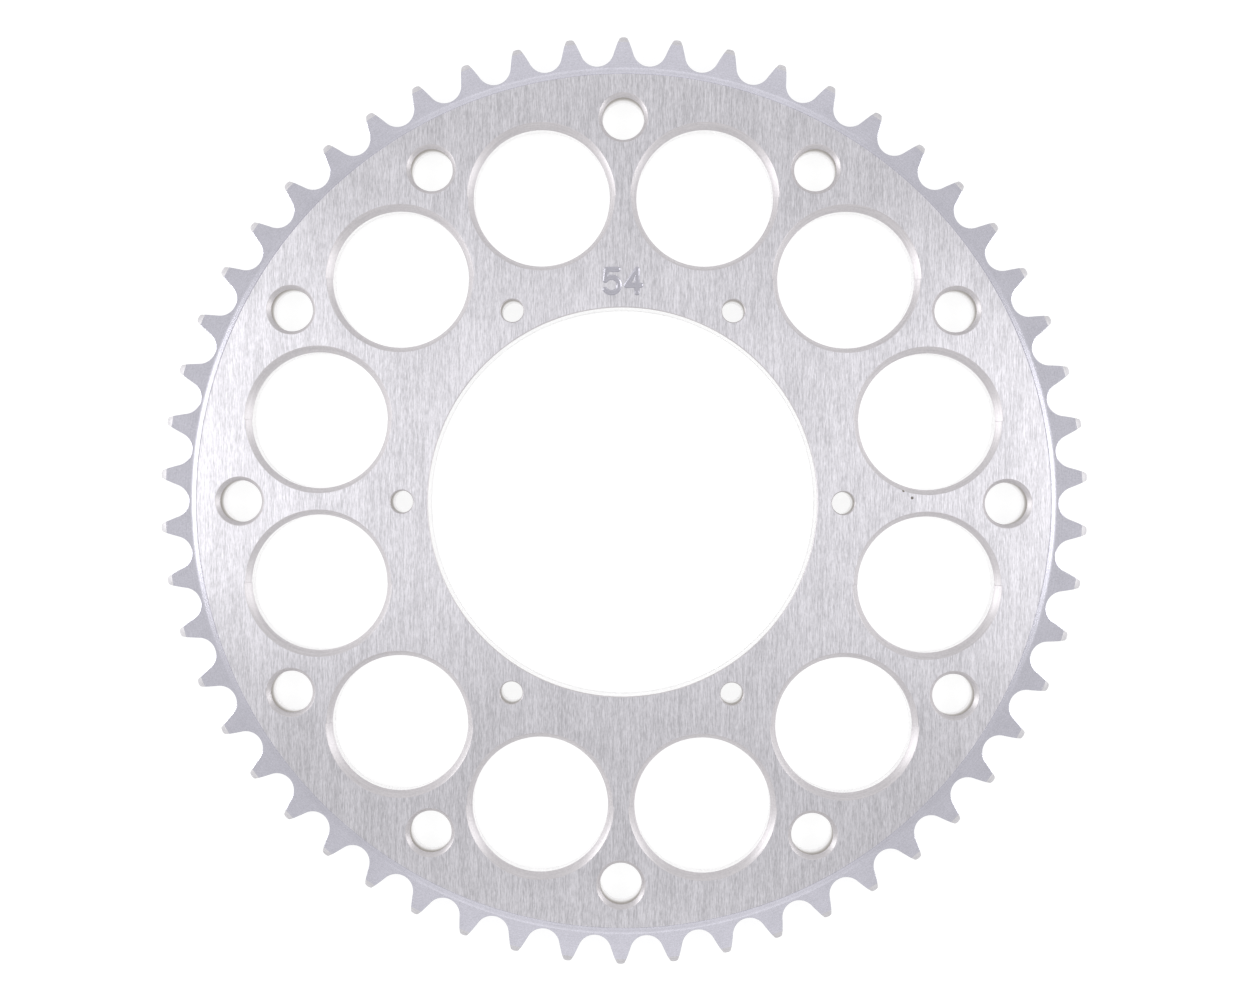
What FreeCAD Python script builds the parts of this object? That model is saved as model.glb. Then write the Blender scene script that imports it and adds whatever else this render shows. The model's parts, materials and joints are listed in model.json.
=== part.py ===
import FreeCAD, Part
import math
import os

# Rear sprocket: one flat plate that a roller chain drives and a wheel hub carries.
# It lies on its back face. The origin is on the bore's axis at the back face, +Z runs along
# that axis to the marked front face, and +Y points to the tooth above the number.
# Lengths are in millimetres and angles in degrees.

# Chain and teeth
TEETH = 54
CHAIN_PITCH = 15.875
ROLLER_DIAMETER = 10.16
TOOTH_HEIGHT = 8.96
TOOTH_RELIEF = 0.275
TIP_CROWN = 0.3
TIP_BEVEL_LENGTH = 1.85
TIP_BEVEL_DEPTH = 0.75

# Tooth form of the standard's smallest gap, as ratios to the roller
SEAT_RADIUS_RATIO = 0.505
SEAT_ANGLE_LIMIT = 140.0
FLANK_RADIUS_RATIO = 0.12

# Plate and the turned shoulder below the teeth
PLATE_THICKNESS = 6.35
SHOULDER_INSET = 1.2
SHOULDER_WIDTH = 1.3
SHOULDER_DROP = 0.2
SHOULDER_FILLET_WIDTH = 0.7

# Hub seat
BORE_DIAMETER = 117.475
BORE_CHAMFER = 0.25
BOLT_HOLES = 6
BOLT_HOLE_DIAMETER = 6.75
BOLT_HOLE_CHAMFER = 0.3
BOLT_LAND = 7.9375

# Metal left around the lightening holes, and the small holes over the spokes
LIGHTENING_HOLES = 12
HUB_LAND = 15.875
RIM_LAND = 15.548
SPOKE_WIDTH = 8.03
LIGHTENING_CHAMFER = 1.5
RIM_HOLE_DIAMETER = 12.7
RIM_HOLE_CHAMFER = 1.1

# Tooth count engraved in the front face
NUMBER_HEIGHT = 7.0
NUMBER_STROKE = 1.3
NUMBER_DEPTH = 0.25
DIGIT_ADVANCE = 6.1

# How far a cutting tool runs past the metal it leaves
TOOL_OVERRUN = 1.0

# Derived sizes
tooth_angle = 360.0 / TEETH
pitch_radius = CHAIN_PITCH / (2 * math.sin(math.radians(tooth_angle / 2)))
root_radius = pitch_radius - ROLLER_DIAMETER / 2
tip_radius = root_radius + TOOTH_HEIGHT
bore_radius = BORE_DIAMETER / 2
bolt_circle_radius = bore_radius + BOLT_LAND
rim_hole_circle_radius = root_radius - RIM_LAND
spoke_angle = 360.0 / LIGHTENING_HOLES


def polar(radius, angle, z=0.0):
    """Point at a radius and an angle about the bore's axis."""
    turn = math.radians(angle)
    return FreeCAD.Vector(radius * math.cos(turn), radius * math.sin(turn), z)


def turned(shape, angle):
    """Copy of a shape, turned about the bore's axis."""
    copy = shape.copy()
    copy.rotate(FreeCAD.Vector(0, 0, 0), FreeCAD.Vector(0, 0, 1), angle)
    return copy


def lightening_hole_radius():
    """Largest hole that leaves the hub land, the rim land and the spokes."""
    inner_edge = bore_radius + HUB_LAND
    outer_edge = root_radius - RIM_LAND
    half_step = math.sin(math.radians(spoke_angle / 2))
    land_limit = (outer_edge - inner_edge) / 2
    spoke_limit = (inner_edge * half_step - SPOKE_WIDTH / 2) / (1 - half_step)
    return min(land_limit, spoke_limit)


def mirrored(point):
    """Point on the other side of the X axis."""
    return FreeCAD.Vector(point.x, -point.y, point.z)


def circles_meet(circle_radius, centre, centre_radius):
    """Where a circle about the bore's axis meets another one, on the side towards -Y."""
    reach = centre.Length
    along = (circle_radius ** 2 - centre_radius ** 2 + reach ** 2) / (2 * reach)
    across = math.sqrt(circle_radius ** 2 - along ** 2)
    to_centre = centre / reach
    return to_centre * along + FreeCAD.Vector(to_centre.y, -to_centre.x, 0) * across


def gap_edges(gap_axis):
    """Outline about one gap between teeth: a flank, the roller seat, a flank and a crown."""
    seat_radius = SEAT_RADIUS_RATIO * ROLLER_DIAMETER
    flank_radius = FLANK_RADIUS_RATIO * ROLLER_DIAMETER * (TEETH + 2)
    half_seat_angle = (SEAT_ANGLE_LIMIT - 90.0 / TEETH) / 2

    # The gap is drawn about the X axis, and what lies above the axis is mirrored below it.
    seat_centre = FreeCAD.Vector(root_radius + seat_radius, 0, 0)
    seat_bottom = FreeCAD.Vector(root_radius, 0, 0)
    to_flank = polar(1.0, 180 - half_seat_angle)
    seat_end = seat_centre + to_flank * seat_radius
    flank_centre = seat_centre + to_flank * (seat_radius + flank_radius)
    flank_end = circles_meet(tip_radius - TIP_CROWN, flank_centre, flank_radius)
    to_middle = (seat_end + flank_end) / 2 - flank_centre
    flank_middle = flank_centre + to_middle.normalize() * flank_radius

    crown_top = polar(tip_radius, -tooth_angle / 2)
    one_tooth_on = FreeCAD.Rotation(FreeCAD.Vector(0, 0, 1), -tooth_angle)
    next_flank_end = one_tooth_on.multVec(flank_end)
    arcs = [
        Part.Arc(flank_end, flank_middle, seat_end),
        Part.Arc(seat_end, seat_bottom, mirrored(seat_end)),
        Part.Arc(mirrored(seat_end), mirrored(flank_middle), mirrored(flank_end)),
        Part.Arc(mirrored(flank_end), crown_top, next_flank_end),
    ]
    return [turned(arc.toShape(), gap_axis) for arc in arcs]


def toothed_prism():
    """The tooth outline, extruded to the plate's thickness."""
    first_gap = 90 - tooth_angle / 2
    edges = []
    for tooth in range(TEETH):
        edges += gap_edges(first_gap - tooth * tooth_angle)
    outline = Part.Wire(Part.__sortEdges__(edges))
    return Part.Face(outline).extrude(FreeCAD.Vector(0, 0, PLATE_THICKNESS))


def turned_blank():
    """The plate as turned on a lathe, with relieved tooth faces and bevelled tips."""
    foot_radius = root_radius - SHOULDER_INSET
    face_radius = foot_radius - SHOULDER_WIDTH
    fillet_end = foot_radius + SHOULDER_FILLET_WIDTH
    bevel_start = tip_radius - TIP_BEVEL_LENGTH
    bevel_slope = TIP_BEVEL_DEPTH / TIP_BEVEL_LENGTH
    rim_radius = tip_radius + TOOL_OVERRUN
    rim_depth = TOOTH_RELIEF + bevel_slope * (rim_radius - bevel_start)
    fillet_middle = foot_radius + SHOULDER_FILLET_WIDTH / 2
    fillet_depth = TOOTH_RELIEF - (TOOTH_RELIEF - SHOULDER_DROP) / 4

    def side(surface, inward):
        """Edges of one side of the profile, from the axis to the rim."""
        def at(radius, depth):
            return FreeCAD.Vector(radius, 0, surface + inward * depth)

        foot = at(foot_radius, SHOULDER_DROP)
        tooth_face = at(fillet_end, TOOTH_RELIEF)
        fillet = Part.Arc(foot, at(fillet_middle, fillet_depth), tooth_face)
        return [
            Part.makeLine(at(0, 0), at(face_radius, 0)),
            Part.makeLine(at(face_radius, 0), foot),
            fillet.toShape(),
            Part.makeLine(tooth_face, at(bevel_start, TOOTH_RELIEF)),
            Part.makeLine(at(bevel_start, TOOTH_RELIEF), at(rim_radius, rim_depth)),
        ]

    back = side(0, 1)
    front = side(PLATE_THICKNESS, -1)
    axis_edge = Part.makeLine(FreeCAD.Vector(0, 0, 0), FreeCAD.Vector(0, 0, PLATE_THICKNESS))
    rim_edge = Part.makeLine(
        FreeCAD.Vector(rim_radius, 0, rim_depth),
        FreeCAD.Vector(rim_radius, 0, PLATE_THICKNESS - rim_depth),
    )
    profile = Part.Wire(Part.__sortEdges__(back + [rim_edge] + front + [axis_edge]))
    return Part.Face(profile).revolve(FreeCAD.Vector(0, 0, 0), FreeCAD.Vector(0, 0, 1), 360)


def hole_tool(radius, chamfer):
    """Drill with a countersink for both faces of the plate, standing on the axis."""
    wide = radius + chamfer + TOOL_OVERRUN
    low = -TOOL_OVERRUN
    high = PLATE_THICKNESS + TOOL_OVERRUN
    points = [
        FreeCAD.Vector(0, 0, low),
        FreeCAD.Vector(wide, 0, low),
        FreeCAD.Vector(radius, 0, chamfer),
        FreeCAD.Vector(radius, 0, PLATE_THICKNESS - chamfer),
        FreeCAD.Vector(wide, 0, high),
        FreeCAD.Vector(0, 0, high),
        FreeCAD.Vector(0, 0, low),
    ]
    profile = Part.Face(Part.makePolygon(points))
    return profile.revolve(FreeCAD.Vector(0, 0, 0), FreeCAD.Vector(0, 0, 1), 360)


def hole_ring(count, circle_radius, first_angle, radius, chamfer):
    """Hole tools, evenly spaced on a circle."""
    tool = hole_tool(radius, chamfer)
    tool.translate(FreeCAD.Vector(circle_radius, 0, 0))
    return [turned(tool, first_angle + step * 360.0 / count) for step in range(count)]


def all_holes():
    """Tools for the bore, the bolt holes, the lightening holes and the rim holes."""
    lightening_radius = lightening_hole_radius()
    lightening_circle_radius = bore_radius + HUB_LAND + lightening_radius
    bore = hole_tool(bore_radius, BORE_CHAMFER)
    bolts = hole_ring(
        BOLT_HOLES, bolt_circle_radius, 0, BOLT_HOLE_DIAMETER / 2, BOLT_HOLE_CHAMFER
    )
    lightening = hole_ring(
        LIGHTENING_HOLES, lightening_circle_radius, spoke_angle / 2,
        lightening_radius, LIGHTENING_CHAMFER,
    )
    rim = hole_ring(
        LIGHTENING_HOLES, rim_hole_circle_radius, 0, RIM_HOLE_DIAMETER / 2, RIM_HOLE_CHAMFER
    )
    return [bore] + bolts + lightening + rim


# Stroke font on a cell one unit high. A line is its two ends, and an arc is its centre,
# its radius and its first and last angle, counted anticlockwise.
DIGIT_WIDTH = 0.62
DIGIT_LINES = {
    "0": [(0, 0.31, 0, 0.69), (0.62, 0.31, 0.62, 0.69)],
    "1": [(0.1, 0.8, 0.35, 1), (0.35, 1, 0.35, 0)],
    "2": [(0.58, 0.54, 0, 0), (0, 0, 0.62, 0)],
    "3": [],
    "4": [(0.46, 1, 0, 0.32), (0, 0.32, 0.62, 0.32), (0.46, 1, 0.46, 0)],
    "5": [(0.56, 1, 0.07, 1), (0.07, 1, 0.03, 0.53)],
    "6": [(0.04, 0.46, 0.42, 1)],
    "7": [(0, 1, 0.62, 1), (0.62, 1, 0.2, 0)],
    "8": [],
    "9": [(0.58, 0.54, 0.2, 0)],
}
DIGIT_ARCS = {
    "0": [(0.31, 0.69, 0.31, 0, 180), (0.31, 0.31, 0.31, 180, 360)],
    "1": [],
    "2": [(0.31, 0.69, 0.31, -29, 180)],
    "3": [(0.31, 0.76, 0.24, -90, 155), (0.31, 0.26, 0.26, -155, 90)],
    "4": [],
    "5": [(0.29, 0.33, 0.33, -145, 143)],
    "6": [(0.31, 0.31, 0.31, 0, 360)],
    "7": [],
    "8": [(0.31, 0.76, 0.24, 0, 360), (0.31, 0.26, 0.26, 0, 360)],
    "9": [(0.31, 0.69, 0.31, 0, 360)],
}


def stroke_end(x, y):
    """Round end of an engraved stroke."""
    base = FreeCAD.Vector(x, y, PLATE_THICKNESS - NUMBER_DEPTH)
    return Part.makeCylinder(NUMBER_STROKE / 2, NUMBER_DEPTH + TOOL_OVERRUN, base)


def line_stroke(x0, y0, x1, y1):
    """Engraved stroke along a straight line."""
    length = math.hypot(x1 - x0, y1 - y0)
    bar = Part.makeBox(length, NUMBER_STROKE, NUMBER_DEPTH + TOOL_OVERRUN)
    bar.translate(FreeCAD.Vector(0, -NUMBER_STROKE / 2, 0))
    slope = math.degrees(math.atan2(y1 - y0, x1 - x0))
    bar.rotate(FreeCAD.Vector(0, 0, 0), FreeCAD.Vector(0, 0, 1), slope)
    bar.translate(FreeCAD.Vector(x0, y0, PLATE_THICKNESS - NUMBER_DEPTH))
    return [bar, stroke_end(x0, y0), stroke_end(x1, y1)]


def arc_stroke(x, y, radius, first_angle, last_angle):
    """Engraved stroke along an arc."""
    base = FreeCAD.Vector(x, y, PLATE_THICKNESS - NUMBER_DEPTH)
    upright = FreeCAD.Vector(0, 0, 1)
    depth = NUMBER_DEPTH + TOOL_OVERRUN
    sweep = last_angle - first_angle
    outer = Part.makeCylinder(radius + NUMBER_STROKE / 2, depth, base, upright, sweep)
    inner = Part.makeCylinder(radius - NUMBER_STROKE / 2, depth, base, upright, sweep)
    band = outer.cut(inner)
    band.rotate(base, upright, first_angle)
    ends = []
    for angle in (first_angle, last_angle):
        end = base + polar(radius, angle)
        ends.append(stroke_end(end.x, end.y))
    return [band] + ends


def number_tool():
    """The tooth count as one cutting tool, centred on the bolt circle above the bore."""
    digits = str(TEETH)
    width = DIGIT_ADVANCE * (len(digits) - 1) + DIGIT_WIDTH * NUMBER_HEIGHT
    low = bolt_circle_radius - NUMBER_HEIGHT / 2
    strokes = []
    for place, digit in enumerate(digits):
        left = place * DIGIT_ADVANCE - width / 2
        for x0, y0, x1, y1 in DIGIT_LINES[digit]:
            strokes += line_stroke(
                left + x0 * NUMBER_HEIGHT, low + y0 * NUMBER_HEIGHT,
                left + x1 * NUMBER_HEIGHT, low + y1 * NUMBER_HEIGHT,
            )
        for x, y, radius, first_angle, last_angle in DIGIT_ARCS[digit]:
            strokes += arc_stroke(
                left + x * NUMBER_HEIGHT, low + y * NUMBER_HEIGHT,
                radius * NUMBER_HEIGHT, first_angle, last_angle,
            )
    return strokes[0].multiFuse(strokes[1:])


def sprocket_plate():
    """The whole sprocket, one solid."""
    plate = toothed_prism().common(turned_blank())
    plate = plate.cut(all_holes())
    plate = plate.cut(number_tool())
    return plate.Solids[0]


os.makedirs("parts", exist_ok=True)
sprocket_plate().exportStep("parts/sprocket_plate.step")
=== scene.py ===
import json
import math

import bmesh
import bpy
from bpy.props import FloatProperty, FloatVectorProperty, IntProperty, PointerProperty
from mathutils import Matrix, Vector


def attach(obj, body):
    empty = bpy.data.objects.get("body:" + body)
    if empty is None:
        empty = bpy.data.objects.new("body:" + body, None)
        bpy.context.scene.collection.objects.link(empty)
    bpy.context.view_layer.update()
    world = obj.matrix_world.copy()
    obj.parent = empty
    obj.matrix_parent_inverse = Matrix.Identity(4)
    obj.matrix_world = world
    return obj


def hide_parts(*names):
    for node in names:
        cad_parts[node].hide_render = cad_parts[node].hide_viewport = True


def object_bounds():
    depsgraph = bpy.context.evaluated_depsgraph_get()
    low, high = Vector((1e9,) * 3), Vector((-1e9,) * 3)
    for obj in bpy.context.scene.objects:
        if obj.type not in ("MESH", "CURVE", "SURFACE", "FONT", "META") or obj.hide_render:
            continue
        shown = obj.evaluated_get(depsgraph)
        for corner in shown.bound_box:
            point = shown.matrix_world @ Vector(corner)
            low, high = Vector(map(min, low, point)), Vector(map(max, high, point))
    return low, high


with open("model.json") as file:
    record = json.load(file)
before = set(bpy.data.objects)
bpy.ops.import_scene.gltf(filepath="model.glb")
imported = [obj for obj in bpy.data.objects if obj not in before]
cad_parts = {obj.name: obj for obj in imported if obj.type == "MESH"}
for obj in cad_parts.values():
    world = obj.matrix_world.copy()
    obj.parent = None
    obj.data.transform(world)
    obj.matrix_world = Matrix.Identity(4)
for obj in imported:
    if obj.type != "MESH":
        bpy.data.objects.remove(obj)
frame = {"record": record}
CAD_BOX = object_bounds()
MOUNTS = {mount["name"]: mount["dims"] for mount in frame["record"]["mounts"]}
PLATE_NODE = "sprocket_plate"
MM = 0.001

bl_info = {
    "name": "Rear sprocket",
    "version": (1, 0, 0),
    "blender": (4, 5, 0),
    "location": "3D view > Sidebar > Sprocket",
    "description": "Models a flat rear sprocket with its finishes, and a small studio",
    "category": "Add Mesh",
}

# A corner between two faces that is turned by more than this is drawn sharp.
SHARP_CORNER = math.radians(33)
SAME_PLACE = 0.002 * MM
CENTRE = Vector((0, 0, 0))
BOLTS = MOUNTS["hub_bolts"]["count"]
SPOKES = 12

# Least height of a unit normal on a face that counts as flat, and most on one that is a wall.
FLAT = 0.99999
WALL = 0.3


# ---------------------------------------------------------------- sizes and colours

def length(name, description, millimetres):
    """A length property, with its default given in millimetres."""
    return FloatProperty(
        name=name, description=description, default=millimetres * MM, min=0,
        unit="LENGTH", precision=5,
    )


def angle(name, description, degrees):
    """An angle property, with its default given in degrees."""
    return FloatProperty(
        name=name, description=description, default=math.radians(degrees), unit="ROTATION"
    )


def colour(name, description, red_green_blue):
    """A linear colour property."""
    return FloatVectorProperty(
        name=name, description=description, default=red_green_blue, subtype="COLOR",
        min=0, max=1,
    )


def power(name, description, watts):
    """A light's power property."""
    return FloatProperty(name=name, description=description, default=watts, min=0, unit="POWER")


class SprocketSizes(bpy.types.PropertyGroup):
    """Sizes of the sprocket that can be set one by one."""

    teeth: IntProperty(
        name="Teeth", description="Number of teeth", default=MOUNTS["chain_teeth"]["count"]
    )
    thickness: length(
        "Thickness", "Plate thickness", (CAD_BOX[1].z - CAD_BOX[0].z) / MM
    )
    chain_pitch: length("Chain pitch", "Distance between two chain rollers", 15.875)
    roller_diameter: length("Roller", "Diameter of a chain roller", 10.16)
    tooth_height: length("Tooth height", "From the roller seat to the tooth tip", 8.96)
    tooth_relief: length("Tooth relief", "How far the tooth faces lie below the plate face", 0.275)
    tip_crown: length("Tip crown", "Rise of the tooth's round tip", 0.3)
    tip_bevel_length: length("Tip bevel length", "Length of the slope on a tooth tip", 1.85)
    tip_bevel_depth: length("Tip bevel depth", "Drop of the slope on a tooth tip", 0.75)
    shoulder_inset: length("Shoulder inset", "From the shoulder's foot to the roller seats", 1.2)
    shoulder_width: length("Shoulder width", "Width of the turned slope", 1.3)
    shoulder_drop: length("Shoulder drop", "Drop of the turned slope", 0.2)
    shoulder_fillet: length("Shoulder fillet", "Width of the hollow at the slope's foot", 0.7)
    edge_groove: length("Edge groove", "Depth of the fine line round the flat face", 0.14)
    bore_radius: length("Bore radius", "Radius of the hub seat", MOUNTS["bore"]["r_mm"])
    bore_chamfer: length("Bore chamfer", "Chamfer of the hub seat", 0.25)
    bolt_circle: length("Bolt circle", "Radius of the bolt circle", MOUNTS["hub_bolts"]["pcd_mm"] / 2)
    bolt_radius: length("Bolt hole radius", "Radius of a bolt hole", MOUNTS["hub_bolts"]["hole_r_mm"])
    bolt_chamfer: length("Bolt hole chamfer", "Chamfer of a bolt hole", 0.3)
    hub_land: length("Hub land", "Metal between the bore and the lightening holes", 15.875)
    rim_land: length("Rim land", "Metal between the roller seats and the lightening holes", 15.548)
    spoke_width: length("Spoke", "Narrowest metal between two lightening holes", 8.03)
    lightening_chamfer: length("Lightening chamfer", "Chamfer of a lightening hole", 1.5)
    chamfer_step: length("Chamfer step", "Extra depth of the chamfer's deeper half", 0.3)
    rim_hole_radius: length("Rim hole radius", "Radius of a hole above a spoke", 6.35)
    rim_hole_chamfer: length("Rim hole chamfer", "Chamfer of a hole above a spoke", 1.1)
    number_height: length("Number height", "Height of the stamped digits", 7.0)
    number_stroke: length("Number stroke", "Width of a stamped stroke", 1.65)
    number_depth: length("Number depth", "Depth of a stamped stroke", 0.25)
    digit_advance: length("Digit advance", "From one digit to the next", 6.5)
    edge_round: length("Edge round", "Radius of the rounding on machined edges", 0.12)
    tooth_round: length("Tooth edge round", "Width of the broken edge round the teeth", 0.1)


class SprocketColours(bpy.types.PropertyGroup):
    """Base colours of the sprocket's metal finishes."""

    rolled: colour("Rolled face", "Aluminium sheet as rolled", (0.712, 0.697, 0.738))
    turned: colour("Turned rim", "Tooth faces and shoulder", (0.67, 0.66, 0.735))
    milled: colour("Milled chamfer", "Chamfers of the holes", (0.62, 0.595, 0.615))
    bored: colour("Bored wall", "Walls of the bore and the large holes", (0.92, 0.91, 0.915))
    # The dark end of the painted shade on the small holes' walls and in the pits.
    drilled: colour("Drilled wall", "Walls of the small holes", (0.36, 0.335, 0.315))
    stamped: colour("Stamped groove", "Grooves of the number", (0.54, 0.53, 0.59))
    bevelled: colour("Tooth tip", "Slopes of the tooth tips", (0.63, 0.615, 0.64))


class StudioSettings(bpy.types.PropertyGroup):
    """Camera, floor and lights."""

    camera_height: length("Camera height", "Camera above the plate's front face", 294.0)
    camera_side: length("Camera side", "Camera towards +X from the bore's axis", 3.69)
    camera_up: length("Camera up", "Camera towards +Y from the bore's axis", 3.05)
    lens: FloatProperty(name="Lens", description="Focal length in millimetres", default=28.056)
    tilt_x: angle("Tilt about X", "Camera turned about X", -0.455)
    tilt_y: angle("Tilt about Y", "Camera turned about Y", 0.548)
    roll: angle("Roll", "Camera turned about its view", 0.18)
    floor_size: length("Floor", "Side of the floor", 3000.0)
    floor_glow: FloatProperty(
        name="Floor glow", description="White that the floor adds, seen directly or in gloss",
        default=0.84,
    )
    room: FloatProperty(name="Room light", description="Strength of the even light", default=0.69)
    left_light: power("Left light", "Soft box low on the left", 4.0)
    right_light: power("Right light", "Soft box low on the right", 3.0)
    far_strip: power("Far strip", "Strip light on the +Y side", 0.21)
    near_strip: power("Near strip", "Strip light on the -Y side", 0.24)
    overhead_bank: power("Overhead bank", "Wide light above the camera", 0.37)


# ---------------------------------------------------------------- modelling by hand

def polar(radius, turn, height=0.0):
    """Point at a radius and an angle about the bore's axis."""
    return Vector((radius * math.cos(turn), radius * math.sin(turn), height))


class Pen:
    """Draws a wire in edit mode, from one point on."""

    def __init__(self, name, start):
        bpy.ops.object.select_all(action="DESELECT")
        bpy.ops.mesh.primitive_plane_add(size=MM)
        self.object = bpy.context.object
        self.object.name = name
        bpy.ops.object.mode_set(mode="EDIT")
        bpy.ops.mesh.select_mode(type="VERT")
        bpy.ops.mesh.merge(type="CENTER")
        bpy.ops.transform.translate(value=start)
        self.tip = Vector(start)

    def line(self, end):
        """A straight edge to the end."""
        step = {"value": Vector(end) - self.tip}
        bpy.ops.mesh.extrude_vertices_move(TRANSFORM_OT_translate=step)
        self.tip = Vector(end)

    def arc(self, centre, axis, turn, steps):
        """An arc about an axis through the centre, counted anticlockwise seen from its end."""
        spin(centre, axis, turn, steps)
        swing = Matrix.Rotation(turn, 3, Vector(axis))
        self.tip = Vector(centre) + swing @ (self.tip - Vector(centre))


def spin(centre, axis, turn, steps, copies=False):
    """Spins what is selected, anticlockwise seen from the axis's end.

    The operator counts its angle the other way.
    """
    bpy.ops.mesh.spin(
        steps=steps, dupli=copies, angle=-turn, center=centre, axis=axis,
        use_auto_merge=False,
    )


def pick(item_type, test):
    """In edit mode, selects the points, edges or faces that pass the test, and nothing else."""
    mesh = bpy.context.object.data
    bpy.ops.mesh.select_mode(type=item_type)
    bpy.ops.mesh.select_all(action="DESELECT")
    model = bmesh.from_edit_mesh(mesh)
    items = {"VERT": model.verts, "EDGE": model.edges, "FACE": model.faces}[item_type]
    for item in items:
        if test(item):
            item.select_set(True)
    bmesh.update_edit_mesh(mesh)


def delete_faces(test):
    """In edit mode, deletes the faces that pass the test."""
    pick("FACE", test)
    bpy.ops.mesh.delete(type="FACE")


def weld():
    """In edit mode, merges points that lie in the same place."""
    bpy.ops.mesh.select_all(action="SELECT")
    bpy.ops.mesh.remove_doubles(threshold=SAME_PLACE)


def all_at(item, distance):
    """Whether every corner of an edge or face is at no distance, by the given measure."""
    return all(abs(distance(corner.co)) < SAME_PLACE for corner in item.verts)


def flat_radius(point):
    """Distance from the bore's axis."""
    return math.hypot(point.x, point.y)


def mirror_modifier(piece, y, z):
    """Mirrors a piece across the XZ plane, the XY plane or both, and welds the halves."""
    mirror = piece.modifiers.new("Mirror", "MIRROR")
    mirror.use_axis = (False, y, z)
    mirror.merge_threshold = SAME_PLACE
    bpy.ops.object.modifier_apply(modifier=mirror.name)


def copy_round(count):
    """In edit mode, repeats the whole mesh evenly about the bore's axis."""
    bpy.ops.mesh.select_all(action="SELECT")
    step = math.tau / count
    spin(CENTRE, (0, 0, 1), step * (count - 1), count - 1, copies=True)
    weld()


# ---------------------------------------------------------------- the toothed rim

class ToothForm:
    """Radii and centres of one tooth, whose middle is on the X axis."""

    def __init__(self, sizes):
        self.step = math.tau / sizes.teeth
        pitch_radius = sizes.chain_pitch / (2 * math.sin(self.step / 2))
        self.root = pitch_radius - sizes.roller_diameter / 2
        self.tip = self.root + sizes.tooth_height
        self.foot = self.root - sizes.shoulder_inset
        self.face = self.foot - sizes.shoulder_width
        self.ring = self.foot + sizes.shoulder_fillet

        seat_radius = 0.505 * sizes.roller_diameter
        flank_radius = 0.12 * sizes.roller_diameter * (sizes.teeth + 2)
        self.half_seat = math.radians(140 - 90 / sizes.teeth) / 2
        self.seat_centre = polar(self.root + seat_radius, self.step / 2)
        to_seat_end = self.step / 2 + math.pi + self.half_seat
        self.flank_centre = self.seat_centre + polar(seat_radius + flank_radius, to_seat_end)
        self.seat_end_turn = to_seat_end - math.pi

        crown_end = self.meet(self.tip - sizes.tip_crown, flank_radius)
        self.flank_end_turn = math.atan2(*(crown_end - self.flank_centre).yx)
        rise = self.tip - crown_end.x
        self.crown_radius = (crown_end.y ** 2 + rise ** 2) / (2 * rise)
        self.crown_turn = math.asin(crown_end.y / self.crown_radius)

    def meet(self, radius, flank_radius):
        """Where a circle about the bore's axis meets the flank's circle, above the X axis."""
        reach = self.flank_centre.length
        along = (radius ** 2 - flank_radius ** 2 + reach ** 2) / (2 * reach)
        across = math.sqrt(radius ** 2 - along ** 2)
        ahead = self.flank_centre / reach
        return ahead * along + Vector((-ahead.y, ahead.x, 0)) * across


def on_mid_plane(item):
    """On the plane through the middle of the tooth."""
    return all_at(item, lambda point: point.y)


def quarter_tooth(sizes, form):
    """A quarter of a tooth as a solid, above the plate's mid plane and beside the tooth's middle."""
    pen = Pen("toothed_rim", (form.tip, 0, 0))
    upright = (0, 0, 1)
    pen.arc((form.tip - form.crown_radius, 0, 0), upright, form.crown_turn, 2)
    pen.arc(form.flank_centre, upright, form.seat_end_turn - form.flank_end_turn, 8)
    pen.arc(form.seat_centre, upright, -form.half_seat, 12)
    pen.line(polar(form.ring, form.step / 2))
    pen.arc(CENTRE, upright, -form.step / 2, 4)
    bpy.ops.mesh.select_all(action="SELECT")
    bpy.ops.mesh.edge_face_add()
    height = sizes.thickness / 2 - sizes.tooth_relief
    bpy.ops.mesh.extrude_region_move(TRANSFORM_OT_translate={"value": (0, 0, height)})

    bpy.ops.mesh.select_all(action="SELECT")
    slope = Vector((sizes.tip_bevel_depth, 0, sizes.tip_bevel_length)).normalized()
    bpy.ops.mesh.bisect(
        plane_co=(form.tip - sizes.tip_bevel_length, 0, height), plane_no=slope,
        use_fill=True, clear_outer=True, threshold=SAME_PLACE / 10,
    )
    bpy.ops.mesh.select_all(action="SELECT")
    bpy.ops.mesh.normals_make_consistent(inside=False)
    return pen.object, height


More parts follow.
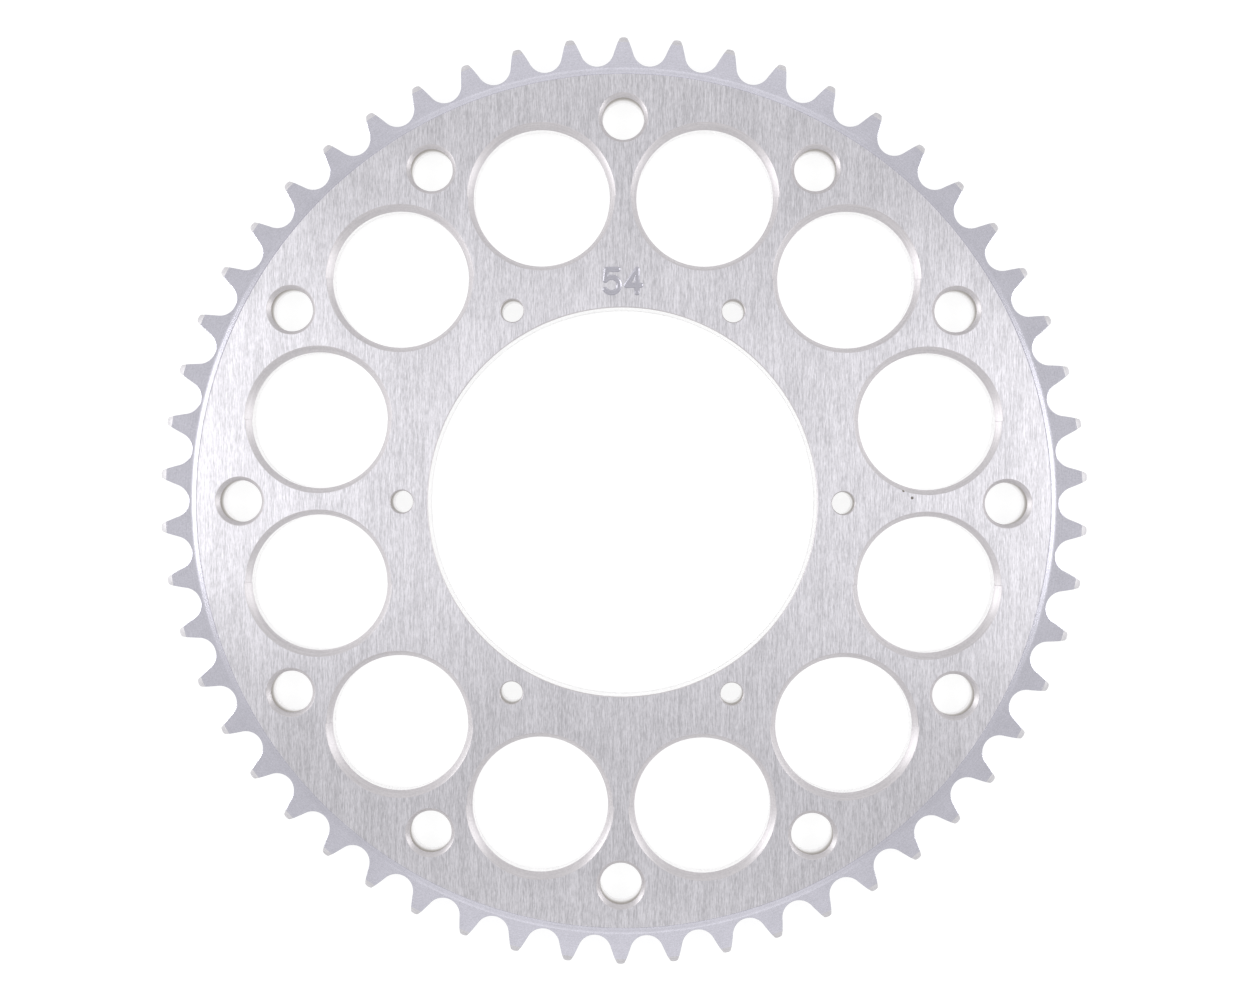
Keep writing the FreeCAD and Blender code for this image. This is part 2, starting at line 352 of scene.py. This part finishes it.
def toothed_rim(sizes, form):
    """All teeth, with the turned shoulder up to the edge of the plate's flat faces."""
    rim, height = quarter_tooth(sizes, form)
    across = polar(1, form.step / 2 + math.pi / 2)

    def on_gap_plane(item):
        return all_at(item, lambda point: point.dot(across))

    def on_ring(item):
        return all_at(item, lambda point: flat_radius(point) - form.ring)

    def is_wall(face):
        inner = on_mid_plane(face) or on_gap_plane(face) or on_ring(face)
        return abs(face.normal.z) < 0.2 and not inner

    def is_tooth_corner(edge):
        upright = abs(edge.verts[0].co.z - edge.verts[1].co.z) > sizes.tooth_relief
        return upright and all(map(is_wall, edge.link_faces)) and edge.calc_face_angle() > 0.5

    def is_tooth_edge(edge):
        walls = [face for face in edge.link_faces if is_wall(face)]
        tops = [face for face in edge.link_faces if face.normal.z > 0.5]
        return len(walls) == 1 and len(tops) == 1

    pick("EDGE", is_tooth_corner)
    bpy.ops.mesh.bevel(offset=1.5 * sizes.tooth_round, segments=2, clamp_overlap=False)
    pick("EDGE", is_tooth_edge)
    bpy.ops.mesh.bevel(offset=sizes.tooth_round, segments=2, clamp_overlap=False)
    delete_faces(lambda face: (
        on_mid_plane(face) or on_gap_plane(face) or on_ring(face)
        or all_at(face, lambda point: point.z)
    ))

    # The shoulder rises inwards from the tooth faces to the flat face.
    pick("EDGE", lambda edge: on_ring(edge) and all_at(edge, lambda point: point.z - height))
    hollow = sizes.tooth_relief - sizes.shoulder_drop
    shoulder = [
        (form.foot + sizes.shoulder_fillet / 2, hollow / 4),
        (form.foot, hollow),
        (form.face + 2 * sizes.edge_groove, sizes.tooth_relief - 0.3 * sizes.edge_groove),
        (form.face + sizes.edge_groove, sizes.tooth_relief - sizes.edge_groove),
        (form.face, sizes.tooth_relief),
    ]
    radius, rise = form.ring, 0.0
    for next_radius, next_rise in shoulder:
        scale = next_radius / radius
        bpy.ops.mesh.extrude_edges_move()
        bpy.ops.transform.resize(value=(scale, scale, 1), center_override=CENTRE)
        bpy.ops.transform.translate(value=(0, 0, next_rise - rise))
        radius, rise = next_radius, next_rise

    bpy.ops.object.mode_set(mode="OBJECT")
    mirror_modifier(rim, True, True)
    bpy.ops.object.mode_set(mode="EDIT")
    bpy.ops.mesh.select_all(action="SELECT")
    bpy.ops.transform.rotate(
        value=math.pi / 2, orient_axis="Z", center_override=CENTRE
    )
    copy_round(sizes.teeth)
    bpy.ops.object.mode_set(mode="OBJECT")
    return rim


# ---------------------------------------------------------------- the holes

def hole_half(name, sizes, radius, chamfer, turns):
    """Upper half of a hole's wall about the bore's axis, spun by each angle in its own steps."""
    bend = math.radians(45)
    edge_round = min(sizes.edge_round, chamfer / 2)
    setback = edge_round * math.tan(bend / 2)
    top = sizes.thickness / 2
    pen = Pen(name, (radius + chamfer + setback, 0, top))
    first_centre = (radius + chamfer + setback, 0, top - edge_round)
    second_centre = (radius + edge_round, 0, top - chamfer - setback)
    slope = Vector((-math.sin(bend), 0, -math.cos(bend)))
    pen.arc(first_centre, (0, 1, 0), -bend, 2)
    pen.line(pen.tip + slope * (chamfer / math.sin(bend) - 2 * setback))
    pen.arc(second_centre, (0, 1, 0), -bend, 2)
    pen.line((radius, 0, 0))
    bpy.ops.mesh.select_all(action="SELECT")
    for turn, steps in turns:
        spin(CENTRE, (0, 0, 1), turn, steps)
    weld()
    return pen.object


def hole_wall(name, sizes, radius, chamfer, steps):
    """Wall of a hole with its chamfers and rounded edges, about the bore's axis."""
    walls = hole_half(name, sizes, radius, chamfer, [(math.tau, steps)])
    bpy.ops.object.mode_set(mode="OBJECT")
    mirror_modifier(walls, False, True)
    return walls


def hole_circle(name, sizes, radius, chamfer, steps, circle, first, count):
    """Equal holes on a circle about the bore's axis, the first one at an angle from +X."""
    walls = hole_wall(name, sizes, radius, chamfer, steps)
    bpy.ops.object.mode_set(mode="EDIT")
    bpy.ops.mesh.select_all(action="SELECT")
    bpy.ops.transform.translate(value=polar(circle, first))
    copy_round(count)
    bpy.ops.object.mode_set(mode="OBJECT")
    return walls


def lightening_holes(sizes, radius, circle, half_step):
    """The lightening holes, evenly spaced about the bore's axis.

    Each chamfer has two halves. The half on the side away from the sprocket's X axis is a little
    deeper, with a small step at either end.
    """
    seam = math.radians(0.3)
    steps = 72
    turns = [(seam, 1), (math.pi - 2 * seam, steps - 1), (seam, 1), (math.pi, steps)]
    chamfer = sizes.lightening_chamfer
    walls = hole_half("lightening_hole_walls", sizes, radius, chamfer, turns)
    top = sizes.thickness / 2
    outer = radius + chamfer

    def in_deep_half(corner, low, high):
        beyond_seam = corner.co.y > radius * math.sin(seam) / 2
        return beyond_seam and low < corner.co.z < high

    pick("VERT", lambda corner: in_deep_half(corner, top - sizes.edge_round, 2 * top))
    wider = (outer + sizes.chamfer_step) / outer
    bpy.ops.transform.resize(value=(wider, wider, 1), center_override=CENTRE)
    low_edge = top - chamfer
    pick("VERT", lambda corner: in_deep_half(
        corner, low_edge - sizes.edge_round, low_edge + sizes.edge_round
    ))
    bpy.ops.transform.translate(value=(0, 0, -sizes.chamfer_step))

    bpy.ops.mesh.select_all(action="SELECT")
    place = polar(circle, half_step)
    bpy.ops.transform.translate(value=place)
    holes = round(math.pi / half_step)
    for hole in range(1, holes // 2):
        next_place = polar(circle, (2 * hole + 1) * half_step)
        bpy.ops.mesh.duplicate_move(TRANSFORM_OT_translate={"value": next_place - place})
        place = next_place
    bpy.ops.object.mode_set(mode="OBJECT")
    mirror_modifier(walls, True, True)
    return walls


def lightening_radius(sizes, form, half_step):
    """Largest hole that leaves the hub land, the rim land and the spokes."""
    inner = sizes.bore_radius + sizes.hub_land
    outer = form.root - sizes.rim_land
    spoke_limit = (inner * math.sin(half_step) - sizes.spoke_width / 2) / (1 - math.sin(half_step))
    return min((outer - inner) / 2, spoke_limit)


def all_holes(sizes, form):
    """The bore, the bolt holes, the lightening holes and the rim holes."""
    half_step = math.pi / SPOKES
    lightening = lightening_radius(sizes, form, half_step)
    lightening_circle = sizes.bore_radius + sizes.hub_land + lightening
    return [
        hole_wall("bore_wall", sizes, sizes.bore_radius, sizes.bore_chamfer, steps=432),
        hole_circle(
            "bolt_hole_walls", sizes, sizes.bolt_radius, sizes.bolt_chamfer, 48,
            sizes.bolt_circle, 0, BOLTS,
        ),
        lightening_holes(sizes, lightening, lightening_circle, half_step),
        hole_circle(
            "rim_hole_walls", sizes, sizes.rim_hole_radius, sizes.rim_hole_chamfer, 72,
            form.root - sizes.rim_land, 0, SPOKES,
        ),
    ]


# ---------------------------------------------------------------- the stamped number

# Stroke font on a cell one unit high. A line is its two ends, and an arc is its centre,
# its radius and its first and last angle in degrees, counted anticlockwise.
DIGIT_WIDTH = 0.62
DIGIT_LINES = {
    "0": [(0, 0.31, 0, 0.69), (0.62, 0.31, 0.62, 0.69)],
    "1": [(0.1, 0.8, 0.35, 1), (0.35, 1, 0.35, 0)],
    "2": [(0.58, 0.54, 0, 0), (0, 0, 0.62, 0)],
    "3": [],
    "4": [(0.46, 1, 0, 0.32), (0, 0.32, 0.62, 0.32), (0.46, 1, 0.46, 0)],
    "5": [(0.56, 1, 0.07, 1), (0.07, 1, 0.03, 0.53)],
    "6": [(0.04, 0.46, 0.42, 1)],
    "7": [(0, 1, 0.62, 1), (0.62, 1, 0.2, 0)],
    "8": [],
    "9": [(0.58, 0.54, 0.2, 0)],
}
DIGIT_ARCS = {
    "0": [(0.31, 0.69, 0.31, 0, 180), (0.31, 0.31, 0.31, 180, 360)],
    "1": [],
    "2": [(0.31, 0.69, 0.31, -29, 180)],
    "3": [(0.31, 0.76, 0.24, -90, 155), (0.31, 0.26, 0.26, -155, 90)],
    "4": [],
    "5": [(0.29, 0.33, 0.33, -145, 143)],
    "6": [(0.31, 0.31, 0.31, 0, 360)],
    "7": [],
    "8": [(0.31, 0.76, 0.24, 0, 360), (0.31, 0.26, 0.26, 0, 360)],
    "9": [(0.31, 0.69, 0.31, 0, 360)],
}
CAP_STEPS = 10
ARC_STEPS = 32


def punch_half(name, sizes, middle):
    """Half section of a punch's edge and its rounded end, with the stroke leaving along +Y."""
    half_width = sizes.number_stroke / 2
    depth = sizes.number_depth
    # From the stroke's middle outwards, in half widths, and from the face up, in depths.
    section = [(1.25, 0.35), (0.97, -0.04), (0.80, -0.28), (0.58, -0.72), (0.40, -0.95), (0, -1)]
    pen = Pen(name, middle + Vector((0, 0, 0.35 * depth)))
    for out, down in section:
        pen.line(middle + Vector((out * half_width, 0, down * depth)))
    bpy.ops.mesh.select_all(action="SELECT")
    spin(middle, (0, 0, 1), -math.pi, CAP_STEPS)
    weld()
    return pen.object


def close_punch(end_middle, ahead):
    """Rounds off the far end of a punch's edge, whose open section is selected."""
    side = Vector((ahead.y, -ahead.x, 0))

    def on_right(edge):
        ends = [corner.co - end_middle for corner in edge.verts]
        on_section = all(abs(end.dot(ahead)) < SAME_PLACE for end in ends)
        return on_section and edge.is_boundary and sum(end.dot(side) for end in ends) > SAME_PLACE

    pick("EDGE", on_right)
    spin(end_middle, (0, 0, 1), math.pi, CAP_STEPS)
    weld()
    bpy.ops.mesh.normals_make_consistent(inside=False)


def line_punch(sizes, start, end):
    """Punch for a straight stroke."""
    run = end - start
    punch = punch_half("line_punch", sizes, CENTRE)
    pick("EDGE", lambda edge: edge.is_boundary)
    along = {"value": (0, run.length, 0)}
    bpy.ops.mesh.extrude_region_move(TRANSFORM_OT_translate=along)
    close_punch(Vector((0, run.length, 0)), Vector((0, 1, 0)))
    bpy.ops.object.mode_set(mode="OBJECT")
    turn = math.atan2(run.y, run.x) - math.pi / 2
    punch.data.transform(Matrix.Translation(start) @ Matrix.Rotation(turn, 4, "Z"))
    return punch


def arc_punch(sizes, middle, radius, first, sweep):
    """Punch for a stroke along an arc."""
    punch = punch_half("arc_punch", sizes, Vector((radius, 0, 0)))
    pick("EDGE", lambda edge: edge.is_boundary)
    spin(CENTRE, (0, 0, 1), sweep, ARC_STEPS)
    weld()
    close_punch(polar(radius, sweep), polar(1, sweep + math.pi / 2))
    bpy.ops.object.mode_set(mode="OBJECT")
    punch.data.transform(Matrix.Translation(middle) @ Matrix.Rotation(first, 4, "Z"))
    return punch


def number_punches(sizes):
    """Punches for the tooth count, centred on the bolt circle above the bore."""
    digits = str(sizes.teeth)
    high = sizes.number_height
    width = sizes.digit_advance * (len(digits) - 1) + DIGIT_WIDTH * high
    low = sizes.bolt_circle - high / 2
    punches = []
    for place, digit in enumerate(digits):
        corner = Vector((place * sizes.digit_advance - width / 2, low, sizes.thickness))
        for x0, y0, x1, y1 in DIGIT_LINES[digit]:
            start = corner + Vector((x0, y0, 0)) * high
            end = corner + Vector((x1, y1, 0)) * high
            punches.append(line_punch(sizes, start, end))
        for x, y, radius, first, last in DIGIT_ARCS[digit]:
            middle = corner + Vector((x, y, 0)) * high
            sweep = math.radians(last - first)
            punches.append(arc_punch(sizes, middle, radius * high, math.radians(first), sweep))
    return punches


# Pits in the front face: place in millimetres, and the radius and depth of the ball they follow.
PITS = [(84.7, 3.7, 0.40, 0.28), (87.3, 1.6, 0.45, 0.34)]


def ball_tool(sizes, x, y, radius, depth):
    """Ball that leaves a pit in the front face."""
    bpy.ops.object.select_all(action="DESELECT")
    height = sizes.thickness + (radius - depth) * MM
    bpy.ops.mesh.primitive_uv_sphere_add(
        segments=16, ring_count=16, radius=radius * MM, location=(x * MM, y * MM, height)
    )
    bpy.ops.object.transform_apply(location=True, rotation=False, scale=False)
    return bpy.context.object


def cut_away(piece, tools):
    """Cuts each tool's shape out of the piece, and removes the tools."""
    for tool in tools:
        bpy.ops.object.select_all(action="DESELECT")
        bpy.context.view_layer.objects.active = piece
        cut = piece.modifiers.new("Cut", "BOOLEAN")
        cut.operation = "DIFFERENCE"
        cut.solver = "EXACT"
        cut.object = tool
        bpy.ops.object.modifier_apply(modifier=cut.name)
        bpy.data.objects.remove(tool)


# ---------------------------------------------------------------- the plate

def join(pieces, name):
    """Makes one object of several."""
    bpy.ops.object.select_all(action="DESELECT")
    for piece in pieces:
        piece.select_set(True)
    bpy.context.view_layer.objects.active = pieces[0]
    bpy.ops.object.join()
    pieces[0].name = name
    return pieces[0]


def plate_blank(sizes, form):
    """The rim and the holes, closed with the two flat faces and lifted onto the floor."""
    plate = join([toothed_rim(sizes, form)] + all_holes(sizes, form), "sprocket")
    bpy.ops.object.mode_set(mode="EDIT")
    for side in (-0.5, 0.5):
        level = side * sizes.thickness
        pick("EDGE", lambda edge: edge.is_boundary and all_at(edge, lambda point: point.z - level))
        bpy.ops.mesh.fill(use_beauty=True)
    weld()
    bpy.ops.mesh.normals_make_consistent(inside=False)
    bpy.ops.transform.translate(value=(0, 0, sizes.thickness / 2))
    bpy.ops.object.mode_set(mode="OBJECT")
    return plate


def run_grain_along_y(plate):
    """Turns the stretched highlights of rolled metal across the grain, which runs along Y.

    They follow circles about the middle of the mesh's texture space, so that is set far away.
    """
    plate.data.use_auto_texspace = False
    plate.data.texspace_location = (0, -100, 0)
    plate.data.texspace_size = (1, 1, 1)


def smooth_all_but_flat_faces(plate):
    """Rounded edges and walls are smooth, and the flat faces stay flat."""
    bpy.ops.object.select_all(action="DESELECT")
    plate.select_set(True)
    bpy.context.view_layer.objects.active = plate
    bpy.ops.object.shade_smooth_by_angle(angle=SHARP_CORNER)
    bpy.ops.object.mode_set(mode="EDIT")
    pick("FACE", lambda face: abs(face.normal.z) > FLAT)
    bpy.ops.mesh.faces_shade_flat()
    bpy.ops.object.mode_set(mode="OBJECT")


# ---------------------------------------------------------------- materials

class Number:
    """A number in a material; arithmetic on it adds Math nodes."""

    def __init__(self, graph, socket):
        self.graph = graph
        self.socket = socket

    def maths(self, operation, *values):
        """The result of a Math node."""
        node = self.graph.node("Math", {"operation": operation}, {
            place: value for place, value in enumerate(values)
        })
        return self.graph.number(node)

    def __add__(self, other):
        return self.maths("ADD", self, other)

    __radd__ = __add__

    def __sub__(self, other):
        return self.maths("SUBTRACT", self, other)

    def __rsub__(self, other):
        return self.maths("SUBTRACT", other, self)

    def __mul__(self, other):
        return self.maths("MULTIPLY", self, other)

    __rmul__ = __mul__

    def __truediv__(self, other):
        return self.maths("DIVIDE", self, other)

    def __rtruediv__(self, other):
        return self.maths("DIVIDE", other, self)

    def __pow__(self, other):
        return self.maths("POWER", self, other)

    def __rpow__(self, other):
        return self.maths("POWER", other, self)

    def between(self, low, high):
        """0 at low, 1 at high, and straight in between."""
        return ((self - low) / (high - low)).clamped()

    def clamped(self):
        """Kept between 0 and 1."""
        return self.maths("MAXIMUM", self.maths("MINIMUM", self, 1.0), 0.0)


class Graph:
    """The nodes of a material or of the world."""

    def __init__(self, owner):
        owner.use_nodes = True
        self.tree = owner.node_tree

    def node(self, kind, settings=None, inputs=None):
        """Adds a node of any kind, with its settings and its inputs by name or place."""
        node = self.tree.nodes.new("ShaderNode" + kind)
        for name, setting in (settings or {}).items():
            setattr(node, name, setting)
        for slot, value in (inputs or {}).items():
            self.put(node.inputs[slot], value)
        return node

    def put(self, slot, value):
        """Links a number or a node's output to an input, or sets the input's own value."""
        if isinstance(value, Number):
            value = value.socket
        if isinstance(value, bpy.types.NodeSocket):
            self.tree.links.new(value, slot)
        else:
            slot.default_value = value

    def number(self, node, output=0):
        """A node's output as a number."""
        return Number(self, node.outputs[output])


class Finish(Graph):
    """A material under construction, with one shader of the usual kind."""

    def __init__(self, name, roughness, metallic=1.0, anisotropic=0.0):
        self.material = bpy.data.materials.new(name)
        super().__init__(self.material)
        self.shader = self.tree.nodes["Principled BSDF"]
        self.set("Roughness", roughness)
        self.set("Metallic", metallic)
        self.set("Anisotropic", anisotropic)

    def set(self, name, value):
        """Sets or links an input of the shader."""
        self.put(self.shader.inputs[name], value)

    def place(self, stretch=(1, 1, 1)):
        """Object coordinates, scaled by stretch."""
        coordinates = self.node("TexCoord")
        mapping = self.node("Mapping", {"vector_type": "POINT"}, {
            "Vector": coordinates.outputs["Object"], "Scale": stretch,
        })
        return mapping.outputs["Vector"]

    def noise(self, place, scale, detail, roughness):
        """Noise from 0 to 1, with its scale in features per metre."""
        node = self.node("TexNoise", {"noise_dimensions": "3D"}, {
            "Vector": place, "Scale": scale, "Detail": detail, "Roughness": roughness,
        })
        return self.number(node, "Fac")

    def height(self):
        """Height above the back face, in metres."""
        parts = self.node("SeparateXYZ", inputs={"Vector": self.place()})
        return self.number(parts, "Z")

    def radius(self):
        """Distance from the bore's axis, in metres."""
        parts = self.node("SeparateXYZ", inputs={"Vector": self.place()})
        x = self.number(parts, "X")
        y = self.number(parts, "Y")
        return (x * x + y * y) ** 0.5

    def blend(self, amount, first, second):
        """A colour between two colours."""
        node = self.node("Mix", {"data_type": "RGBA"}, {0: amount, 6: first, 7: second})
        return node.outputs[2]

    def relief(self, height, depth):
        """Raises the surface by a height from 0 to 1, times a depth in metres."""
        bump = self.node("Bump", inputs={"Height": height, "Distance": depth, "Strength": 1.0})
        self.set("Normal", bump.outputs["Normal"])


def tinted(base, factor):
    """A colour with its brightness scaled, opaque."""
    return (*(min(channel * factor, 1.0) for channel in base), 1.0)


def rolled_finish(colours):
    """Sheet as rolled: fine broken streaks along Y, over a grain and slow changes of shade."""
    finish = Finish("rolled_aluminium", 0.37, anisotropic=0.8)
    streaks = finish.noise(finish.place((1, 0.05, 1)), 2300, 2, 0.55)
    threads = finish.noise(finish.place((1, 0.1, 1)), 4600, 1, 0.5)
    bands = finish.noise(finish.place((1, 0.04, 1)), 420, 2, 0.5)
    cloudy = finish.noise(finish.place((1, 0.5, 1)), 90, 4, 0.6)
    grain = finish.noise(finish.place((1, 0.5, 1)), 2600, 2, 0.7)
    shade = streaks * 0.3 + threads * 0.35 + bands * 0.08 + cloudy * 0.07 + grain * 0.2
    finish.set("Base Color", finish.blend(
        shade.between(0.4, 0.6), tinted(colours.rolled, 0.78), tinted(colours.rolled, 1.19)
    ))
    finish.set("Roughness", 0.31 + 0.12 * cloudy)
    finish.relief(streaks * 0.6 + threads * 0.4, 0.04 * MM)
    return finish.material


def turned_finish(colours):
    """Turned on a lathe: faint rings about the bore, over a fine grain."""
    finish = Finish("turned_aluminium", 0.27)
    from_axis = finish.node("CombineXYZ", inputs={"X": finish.radius()})
    rings = finish.noise(from_axis.outputs[0], 3000, 2, 0.6)
    grain = finish.noise(finish.place(), 2200, 3, 0.6)
    cloudy = finish.noise(finish.place(), 160, 3, 0.5)
    shade = (rings * 0.3 + grain * 0.5 + cloudy * 0.2).between(0.35, 0.65)
    finish.set(
        "Base Color",
        finish.blend(shade, tinted(colours.turned, 0.88), tinted(colours.turned, 1.10)),
    )
    return finish.material


def cut_finish(name, base, roughness, depth, metallic=1.0):
    """Cut or stamped metal: fine lines at each height, over a fine grain."""
    finish = Finish(name, roughness, metallic)
    lines = finish.noise(finish.place((0.02, 0.02, 1)), 4000, 2, 0.6)
    grain = finish.noise(finish.place(), 1800, 3, 0.6)
    shade = (lines * 0.5 + grain * 0.5).between(0.35, 0.65)
    finish.set("Base Color", finish.blend(shade, tinted(base, 0.88), tinted(base, 1.1)))
    finish.set("Roughness", roughness - 0.05 + 0.1 * grain)
    finish.relief(lines, depth)
    return finish.material


def drilled_finish(colours):
    """Wall of a small hole, with painted shade: dark near the front face, fading to the light bored
    colour towards the back face.
    """
    finish = Finish("drilled_aluminium", 0.35)
    lines = finish.noise(finish.place((0.02, 0.02, 1)), 4000, 2, 0.6)
    # Painted shade: the wall darkens towards the front face, with a ragged edge from the lines.
    painted_shade = (finish.height() + 1.2 * MM * lines).between(2.8 * MM, 4.8 * MM)
    finish.set(
        "Base Color", finish.blend(painted_shade, tinted(colours.bored, 1), tinted(colours.drilled, 1))
    )
    finish.relief(lines, 0.008 * MM)
    return finish.material


def finishes(colours):
    """The plate's materials, in the order of its material slots."""
    return [
        rolled_finish(colours),
        turned_finish(colours),
        cut_finish("milled_aluminium", colours.milled, 0.42, 0.001 * MM, 0.4),
        cut_finish("bored_aluminium", colours.bored, 0.22, 0.003 * MM),
        drilled_finish(colours),
        cut_finish("hobbed_aluminium", colours.turned, 0.32, 0.006 * MM),
        cut_finish("stamped_aluminium", colours.stamped, 0.4, 0.001 * MM),
        cut_finish("bevelled_aluminium", colours.bevelled, 0.45, 0.001 * MM, 0.2),
    ]


def finish_faces(plate, sizes, form):
    """Gives each face the finish of the cut that made it."""
    rolled, turned, milled, bored, drilled, hobbed, stamped, bevelled = range(8)
    middle = sizes.thickness / 2
    small_holes = [
        (polar(sizes.bolt_circle, step * math.tau / BOLTS), sizes.bolt_radius + MM)
        for step in range(BOLTS)
    ] + [
        (polar(form.root - sizes.rim_land, step * math.tau / SPOKES), sizes.rim_hole_radius + 2 * MM)
        for step in range(SPOKES)
    ]

    def in_small_hole(centre):
        return any((centre.xy - hole.xy).length < reach for hole, reach in small_holes)

    def in_number(centre):
        on_land = MM < flat_radius(centre) - sizes.bore_radius < sizes.hub_land
        above_bore = centre.y > 0 and abs(centre.x) < sizes.hub_land / 2
        return on_land and above_bore and centre.z > middle

    def in_pit(face):
        tiny = face.area < (0.15 * MM) ** 2
        return tiny and face.center.z > middle and any(
            math.hypot(face.center.x - x * MM, face.center.y - y * MM) < radius * MM
            for x, y, radius, _depth in PITS
        )

    for face in plate.data.polygons:
        centre = face.center
        slant = abs(face.normal.z)
        radius = flat_radius(centre)
        if slant > FLAT and abs(centre.z - middle) > middle - SAME_PLACE:
            finish = rolled
        elif radius > form.tip - sizes.tip_bevel_length and WALL < slant < 0.99:
            finish = bevelled
        elif radius > form.face:
            finish = hobbed if slant < WALL else turned
        elif in_number(centre) and not in_small_hole(centre):
            finish = stamped
        # Pits take the drilled finish, so they are painted dark with its painted shade.
        elif in_pit(face):
            finish = drilled
        elif slant < WALL:
            finish = drilled if in_small_hole(centre) else bored
        else:
            finish = milled
        face.material_index = finish


# ---------------------------------------------------------------- studio

def soft_light(name, lean, turn, size, watts, faces_down=False):
    """A soft box a metre from the sprocket, by its lean from straight up and its turn from +X."""
    lean = math.radians(lean)
    away = polar(math.sin(lean), math.radians(turn), math.cos(lean))
    bpy.ops.object.light_add(type="AREA", location=away)
    light = bpy.context.object
    light.name = name
    if not faces_down:
        light.rotation_euler = (-away).to_track_quat("-Z", "Y").to_euler()
    light.data.shape = "RECTANGLE"
    light.data.size, light.data.size_y = size
    light.data.energy = watts


FLOOR_GAP = 0.02 * MM
PAPER = (0.9, 0.9, 0.9, 1)
DIM_PAPER = (0.25, 0.25, 0.25, 1)


def studio_floor(studio, low):
    """Pale paper, which is white but for the object's soft shadow when seen or mirrored."""
    bpy.ops.object.select_all(action="DESELECT")
    bpy.ops.mesh.primitive_grid_add(
        x_subdivisions=8, y_subdivisions=8, size=studio.floor_size, location=(0, 0, low - FLOOR_GAP)
    )
    floor = bpy.context.object
    floor.name = "studio_floor"
    material = bpy.data.materials.new("studio_floor")
    graph = Graph(material)
    graph.tree.nodes.clear()
    paper = graph.node("BsdfDiffuse", inputs={"Color": PAPER})
    dim_paper = graph.node("BsdfDiffuse", inputs={"Color": DIM_PAPER})
    glow = graph.node("Emission", inputs={"Strength": studio.floor_glow})
    seen_paper = graph.node("AddShader", inputs={0: dim_paper.outputs[0], 1: glow.outputs[0]})
    path = graph.node("LightPath")
    direct = graph.number(path, "Is Camera Ray")
    mirrored = graph.number(path, "Is Glossy Ray")
    through = graph.number(path, "Is Transmission Ray")
    both = graph.node("MixShader", inputs={
        0: (direct + mirrored + through).clamped(),
        1: paper.outputs[0],
        2: seen_paper.outputs[0],
    })
    graph.node("OutputMaterial", inputs={"Surface": both.outputs[0]})
    floor.data.materials.append(material)


def studio_room(studio):
    """Even light from all round, with a white backdrop where the camera looks past the floor."""
    world = bpy.data.worlds.new("studio_room")
    bpy.context.scene.world = world
    graph = Graph(world)
    background = graph.tree.nodes["Background"]
    seen = graph.number(graph.node("LightPath"), "Is Camera Ray")
    graph.put(background.inputs["Color"], (1, 1, 1, 1))
    graph.put(background.inputs["Strength"], seen * (1 - studio.room) + studio.room)


def studio_camera(studio, high):
    """A camera that looks straight down on the front face, nearly square."""
    bpy.ops.object.camera_add(
        location=(studio.camera_side, studio.camera_up, high + studio.camera_height),
        rotation=(studio.tilt_x, studio.tilt_y, studio.roll),
    )
    camera = bpy.context.object
    camera.name = "studio_camera"
    camera.data.lens = studio.lens
    camera.data.sensor_width = 36
    camera.data.clip_start = 0.01
    bpy.context.scene.camera = camera


# ---------------------------------------------------------------- operators and panel

class SPROCKET_OT_plate(bpy.types.Operator):
    """Models the sprocket plate, stamps its tooth count and gives it its finishes"""

    bl_idname = "sprocket.plate"
    bl_label = "Sprocket plate"

    def execute(self, context):
        sizes = context.scene.sprocket_sizes
        form = ToothForm(sizes)
        plate = plate_blank(sizes, form)
        cut_away(plate, number_punches(sizes))
        cut_away(plate, [ball_tool(sizes, *pit) for pit in PITS])
        smooth_all_but_flat_faces(plate)
        run_grain_along_y(plate)
        for material in finishes(context.scene.sprocket_colours):
            plate.data.materials.append(material)
        finish_faces(plate, sizes, form)
        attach(plate, "root")
        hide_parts(PLATE_NODE)
        return {"FINISHED"}


class SPROCKET_OT_studio(bpy.types.Operator):
    """Sets up the floor, the lights and the camera"""

    bl_idname = "sprocket.studio"
    bl_label = "Studio"

    def execute(self, context):
        studio = context.scene.sprocket_studio
        low, high = CAD_BOX[0].z, CAD_BOX[1].z
        context.scene.view_settings.view_transform = "Standard"
        studio_floor(studio, low)
        studio_room(studio)
        studio_camera(studio, high)
        soft_light("left_light", 64, 175, (0.5, 0.45), studio.left_light)
        soft_light("right_light", 62, 3, (0.5, 0.4), studio.right_light)
        soft_light("far_strip", 40, 90, (0.75, 0.22), studio.far_strip)
        soft_light("near_strip", 40, 270, (0.75, 0.22), studio.near_strip)
        soft_light("overhead_bank", 2, 180, (0.8, 1.8), studio.overhead_bank, faces_down=True)
        return {"FINISHED"}


class SPROCKET_PT_panel(bpy.types.Panel):
    """Sprocket operators and their settings"""

    bl_label = "Rear sprocket"
    bl_idname = "SPROCKET_PT_panel"
    bl_space_type = "VIEW_3D"
    bl_region_type = "UI"
    bl_category = "Sprocket"

    def draw(self, context):
        for operator in (SPROCKET_OT_plate, SPROCKET_OT_studio):
            self.layout.operator(operator.bl_idname)
        for group in ("sprocket_sizes", "sprocket_colours", "sprocket_studio"):
            settings = getattr(context.scene, group)
            box = self.layout.box()
            for name in settings.__annotations__:
                box.prop(settings, name)


CLASSES = (
    SprocketSizes,
    SprocketColours,
    StudioSettings,
    SPROCKET_OT_plate,
    SPROCKET_OT_studio,
    SPROCKET_PT_panel,
)


def register():
    for each in CLASSES:
        bpy.utils.register_class(each)
    bpy.types.Scene.sprocket_sizes = PointerProperty(type=SprocketSizes)
    bpy.types.Scene.sprocket_colours = PointerProperty(type=SprocketColours)
    bpy.types.Scene.sprocket_studio = PointerProperty(type=StudioSettings)


def unregister():
    del bpy.types.Scene.sprocket_studio
    del bpy.types.Scene.sprocket_colours
    del bpy.types.Scene.sprocket_sizes
    for each in reversed(CLASSES):
        bpy.utils.unregister_class(each)


def main():
    register()
    bpy.ops.sprocket.plate()
    bpy.ops.sprocket.studio()


if __name__ == "__main__":
    main()
